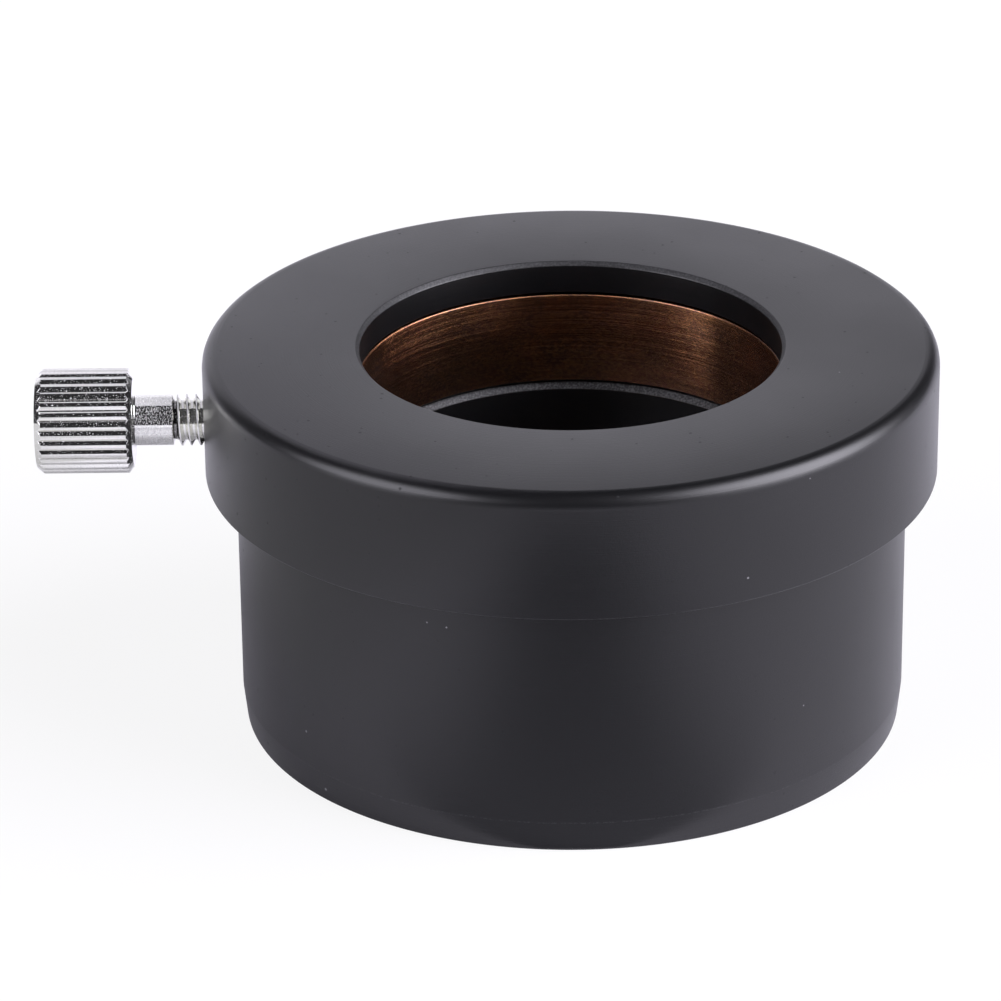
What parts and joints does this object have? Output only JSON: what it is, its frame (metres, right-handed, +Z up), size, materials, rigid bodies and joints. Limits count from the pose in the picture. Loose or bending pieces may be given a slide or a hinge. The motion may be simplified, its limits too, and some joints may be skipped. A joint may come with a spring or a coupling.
{
  "type": "eyepiece adapter",
  "caption": "Turned adapter that steps a wide telescope focuser down to a slimmer eyepiece, gripped by a split compression ring and a knurled side thumbscrew.",
  "frame": {"origin": "at the height of the barrel's lower end, under the middle of the whole part with its thumbscrew at rest; the optical axis is 6.3 mm along +X from it", "axes": "+Z up along the optical axis, out of the eyepiece's mouth; the thumbscrew points along -X"},
  "size_m": [0.068, 0.0554, 0.0297],
  "materials": {
    "black_anodise": "turned aluminium, bead-fine satin black anodise",
    "browned_brass": "rolled spring brass, browned and mottled, semi-gloss",
    "bright_chrome": "bright chrome plating on a turned and knurled screw"
  },
  "bodies": {
    "adapter": {"adapter_body": "black_anodise", "compression_ring": "browned_brass"},
    "screw": {"thumbscrew": "bright_chrome"}
  },
  "joints": [
    {"name": "thumbscrew_travel", "type": "slide", "parent": "adapter", "child": "screw", "axis": [-1, 0, 0], "range_m": [0, 0.0092]}
  ]
}
